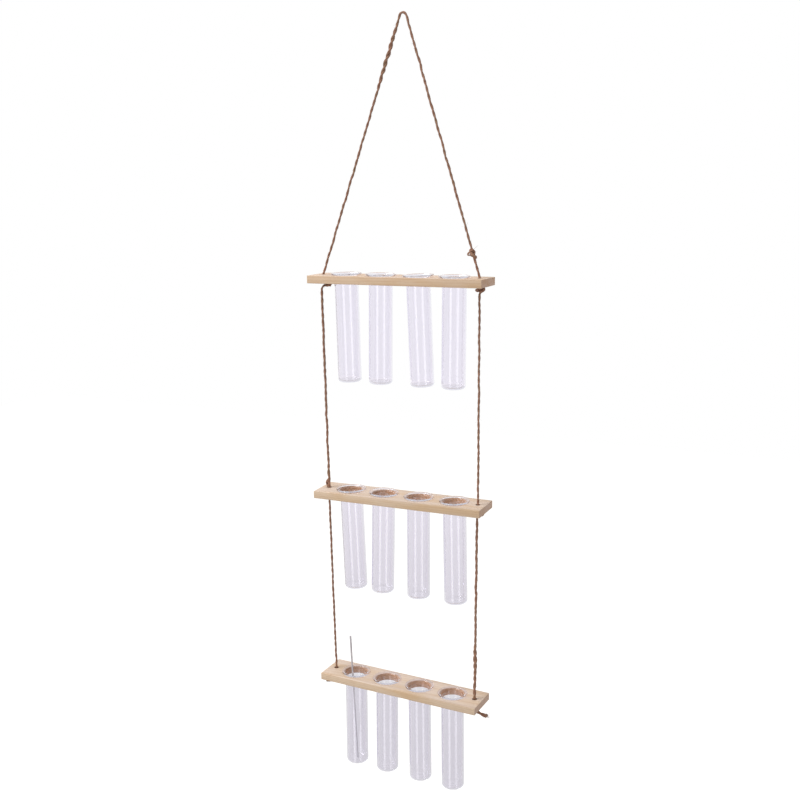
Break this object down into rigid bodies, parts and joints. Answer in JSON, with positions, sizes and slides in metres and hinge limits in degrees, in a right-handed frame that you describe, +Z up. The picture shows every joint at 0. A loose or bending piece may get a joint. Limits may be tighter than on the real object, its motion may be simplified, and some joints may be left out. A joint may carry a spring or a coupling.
{
  "type": "hanging test tube vase",
  "caption": "Hanging flower vase: wooden shelves on jute twine, one under another, each holding a row of lipped glass test tubes by their flares.",
  "frame": {"origin": "the point of the hook or nail that the twine loop lies on: underside of the loop at its apex", "axes": "+Z up against gravity, +X along the shelves towards the side with the joining knot, +Y towards the wall behind"},
  "size_m": [0.1972, 0.0512, 0.807],
  "materials": {
    "pine": "planed, unvarnished",
    "glass": "clear, smooth",
    "jute": "two-ply twine, hairy, matt",
    "rod": "matt"
  },
  "bodies": {
    "loop": {"hanging_loop": "jute", "joining_knot": "jute", "loop_end": "jute"},
    "top_tier": {"top_shelf": "pine", "top_left_knot": "jute", "top_right_knot": "jute"},
    "middle_cords": {"middle_left_cord": "jute", "middle_right_cord": "jute"},
    "middle_tier": {"middle_shelf": "pine", "middle_left_knot": "jute", "middle_right_knot": "jute"},
    "bottom_cords": {"bottom_left_cord": "jute", "bottom_right_cord": "jute"},
    "bottom_tier": {"bottom_shelf": "pine", "bottom_left_knot": "jute", "bottom_right_knot": "jute"},
    "top_tube_1_body": {"top_tube_1": "glass"},
    "top_tube_2_body": {"top_tube_2": "glass"},
    "top_tube_3_body": {"top_tube_3": "glass"},
    "top_tube_4_body": {"top_tube_4": "glass"},
    "middle_tube_1_body": {"middle_tube_1": "glass"},
    "middle_tube_2_body": {"middle_tube_2": "glass"},
    "middle_tube_3_body": {"middle_tube_3": "glass"},
    "middle_tube_4_body": {"middle_tube_4": "glass"},
    "bottom_tube_1_body": {"bottom_tube_1": "glass"},
    "bottom_tube_2_body": {"bottom_tube_2": "glass"},
    "bottom_tube_3_body": {"bottom_tube_3": "glass"},
    "bottom_tube_4_body": {"bottom_tube_4": "glass"},
    "rod_body": {"slim_rod": "rod"}
  },
  "joints": [
    {"name": "top_shelf_tilt", "type": "hinge", "parent": "loop", "child": "top_tier", "pos_m": [-0.0068, 0, -0.246], "axis": [1, 0, 0], "range_deg": [-15, 15]},
    {"name": "middle_cords_swing", "type": "hinge", "parent": "top_tier", "child": "middle_cords", "pos_m": [-0.0068, 0, -0.26304], "axis": [1, 0, 0], "range_deg": [-15, 15]},
    {"name": "middle_shelf_tilt", "type": "hinge", "parent": "middle_cords", "child": "middle_tier", "pos_m": [-0.0068, 0, -0.4765], "axis": [1, 0, 0], "range_deg": [-15, 15]},
    {"name": "bottom_cords_swing", "type": "hinge", "parent": "middle_tier", "child": "bottom_cords", "pos_m": [-0.0068, 0, -0.49354], "axis": [1, 0, 0], "range_deg": [-15, 15]},
    {"name": "bottom_shelf_tilt", "type": "hinge", "parent": "bottom_cords", "child": "bottom_tier", "pos_m": [-0.0068, 0, -0.6935], "axis": [0.9982, -0.0593, 0], "range_deg": [-15, 15]},
    {"name": "top_tube_1_lift", "type": "slide", "parent": "top_tier", "child": "top_tube_1_body", "axis": [-0.0157, 0, 0.9999], "range_m": [0, 0.019]},
    {"name": "top_tube_2_lift", "type": "slide", "parent": "top_tier", "child": "top_tube_2_body", "axis": [0.0175, 0, 0.9998], "range_m": [0, 0.111]},
    {"name": "top_tube_3_lift", "type": "slide", "parent": "top_tier", "child": "top_tube_3_body", "axis": [-0.0366, 0, 0.9993], "range_m": [0, 0.111]},
    {"name": "top_tube_4_lift", "type": "slide", "parent": "top_tier", "child": "top_tube_4_body", "axis": [0.0087, 0, 1], "range_m": [0, 0.014]},
    {"name": "middle_tube_1_lift", "type": "slide", "parent": "middle_tier", "child": "middle_tube_1_body", "axis": [-0.0332, 0, 0.9995], "range_m": [0, 0.111]},
    {"name": "middle_tube_2_lift", "type": "slide", "parent": "middle_tier", "child": "middle_tube_2_body", "axis": [0.0262, 0, 0.9997], "range_m": [0, 0.111]},
    {"name": "middle_tube_3_lift", "type": "slide", "parent": "middle_tier", "child": "middle_tube_3_body", "axis": [0.0052, 0, 1], "range_m": [0, 0.111]},
    {"name": "middle_tube_4_lift", "type": "slide", "parent": "middle_tier", "child": "middle_tube_4_body", "axis": [-0.0175, 0, 0.9998], "range_m": [0, 0.111]},
    {"name": "bottom_tube_1_lift", "type": "slide", "parent": "bottom_tier", "child": "bottom_tube_1_body", "axis": [0.0052, -0.0003, 1], "range_m": [0, 0.03]},
    {"name": "bottom_tube_2_lift", "type": "slide", "parent": "bottom_tier", "child": "bottom_tube_2_body", "axis": [0.0105, -0.0006, 0.9999], "range_m": [0, 0.1]},
    {"name": "bottom_tube_3_lift", "type": "slide", "parent": "bottom_tier", "child": "bottom_tube_3_body", "axis": [-0.007, 0.0004, 1], "range_m": [0, 0.1]},
    {"name": "bottom_tube_4_lift", "type": "slide", "parent": "bottom_tier", "child": "bottom_tube_4_body", "axis": [-0.007, 0.0004, 1], "range_m": [0, 0.1]},
    {"name": "slim_rod_draw", "type": "slide", "parent": "bottom_tube_1_body", "child": "rod_body", "axis": [-0.0698, 0.057, 0.9959], "range_m": [0, 0.03]}
  ]
}
